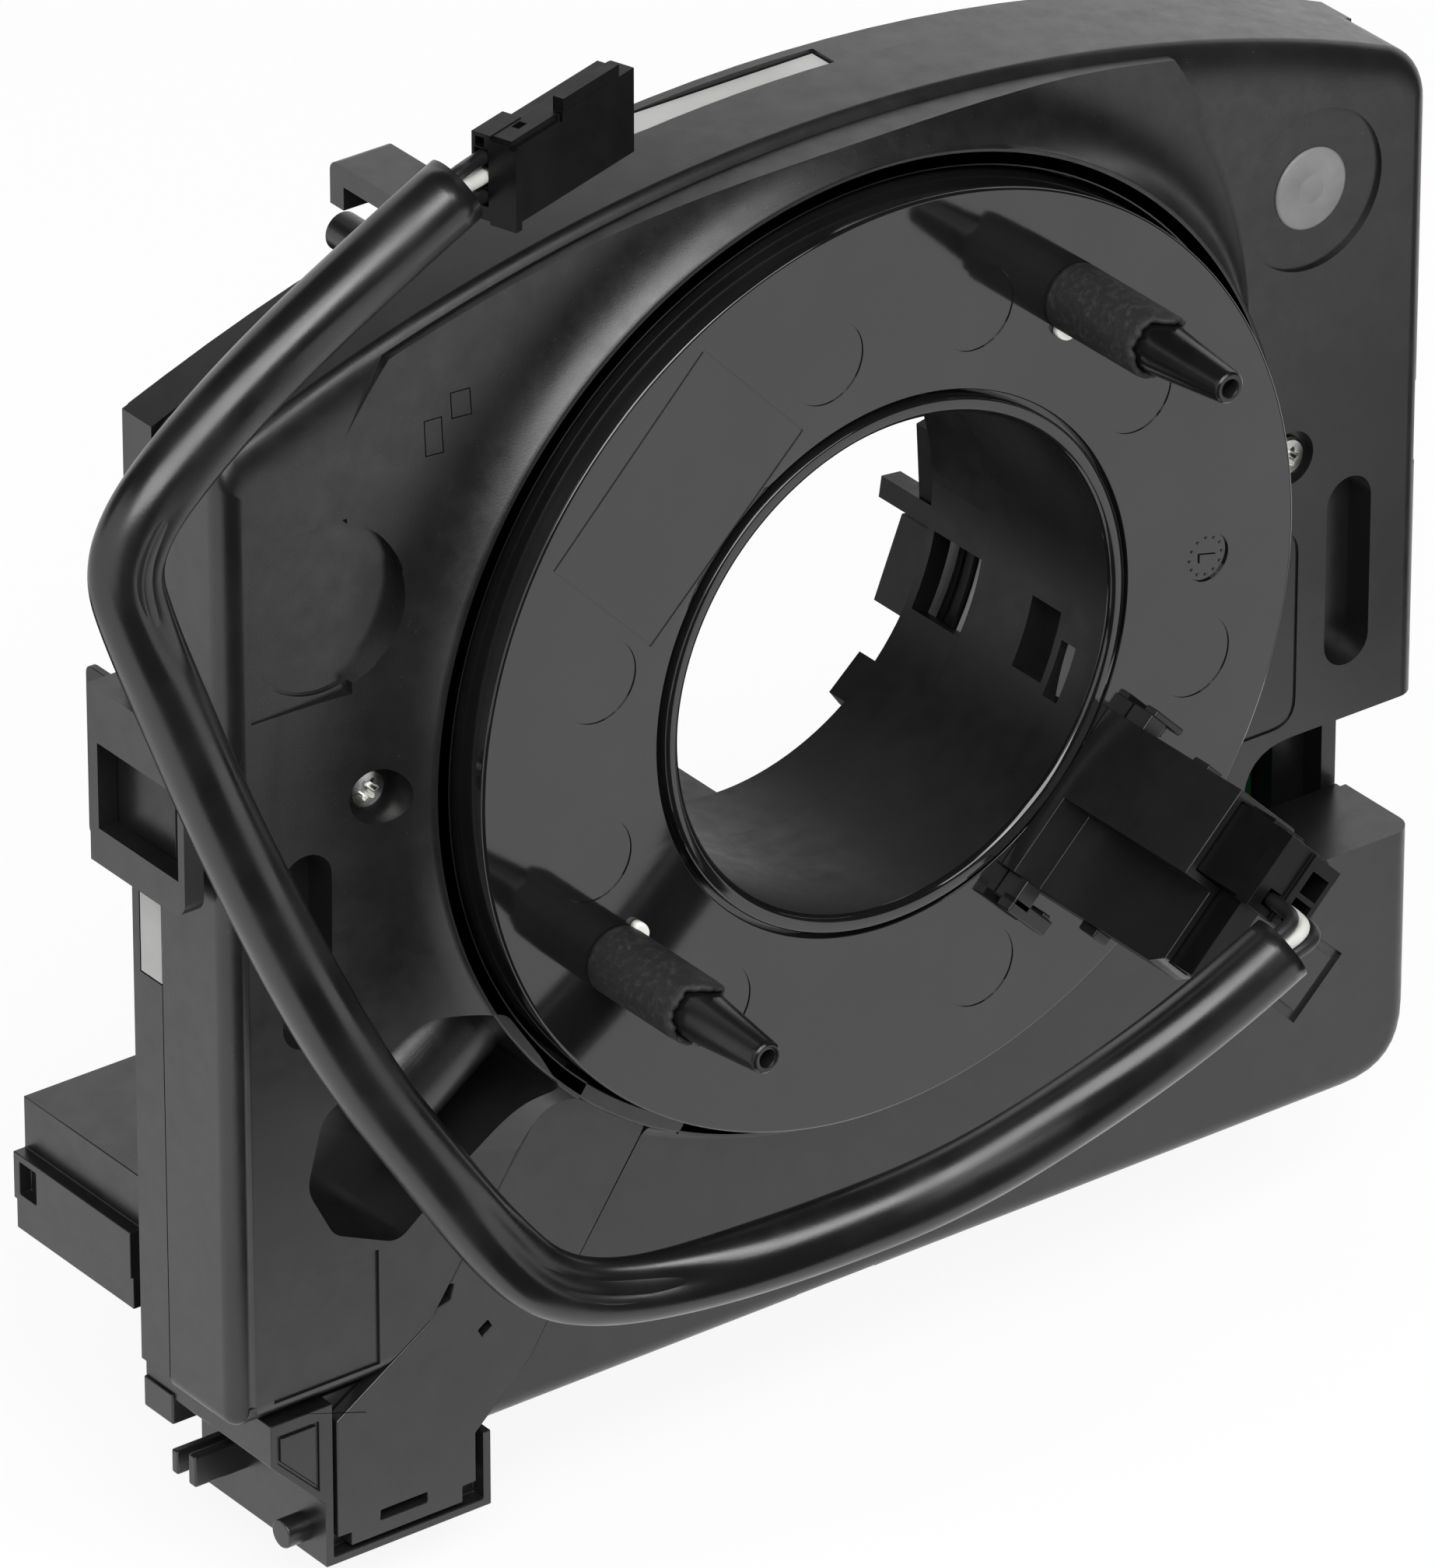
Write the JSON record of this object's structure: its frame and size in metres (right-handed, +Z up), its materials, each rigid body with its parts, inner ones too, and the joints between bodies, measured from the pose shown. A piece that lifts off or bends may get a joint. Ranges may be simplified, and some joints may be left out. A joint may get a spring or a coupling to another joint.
{
  "type": "steering clock spring",
  "caption": "Rotary cable unit for a steering column: a disc with driver pins and a wired plug turns in a flat housing with an angle sensor behind it.",
  "frame": {"origin": "middle of the bore in the plane of the rotor disc's front face", "axes": "-Y along the bore towards the steering wheel, +Z up, +X to the right seen from the wheel"},
  "size_m": [0.1679, 0.0871, 0.1561],
  "materials": {
    "gloss_black": "polished moulded acetal",
    "housing_black": "fine grained moulding",
    "matt_black": "plain moulding",
    "carrier_grey": "plain moulding",
    "white_plastic": "plain moulding",
    "steel": "turned and zinc plated",
    "tinned_pin": "tin plated",
    "soft_rubber": "moulded",
    "soft_sleeve": "smooth extruded sleeve",
    "wire_skin": "extruded",
    "board_green": "solder resist",
    "cable_film": "laminated film"
  },
  "bodies": {
    "stator": {"front_cover": "housing_black", "channel_cover": "housing_black", "channel_tray": "housing_black", "cover_screws": "steel", "inner_carrier": "carrier_grey", "rear_housing": "housing_black", "rear_connector": "housing_black", "connector_pins": "tinned_pin", "sensor_board": "board_green", "light_barrier": "matt_black", "flat_cable": "cable_film", "cable_terminal_outer": "matt_black"},
    "rotor": {"rotor_disc": "gloss_black", "drive_ring": "gloss_black", "upper_driver_pin": "gloss_black", "lower_driver_pin": "gloss_black", "upper_pin_sleeve": "soft_rubber", "lower_pin_sleeve": "soft_rubber", "pin_locks": "white_plastic", "connector_tower": "gloss_black", "tower_contacts": "tinned_pin", "cable_plug": "matt_black", "cable_sleeve": "soft_sleeve", "airbag_wires": "wire_skin", "airbag_plug": "matt_black", "airbag_plug_lock": "matt_black", "code_disc": "matt_black", "cable_terminal_inner": "matt_black"}
  },
  "joints": [
    {"name": "rotor_spin", "type": "hinge", "parent": "stator", "child": "rotor", "pos_m": [0, 0, 0], "axis": [0, -1, 0], "range_deg": [-900, 900]}
  ]
}
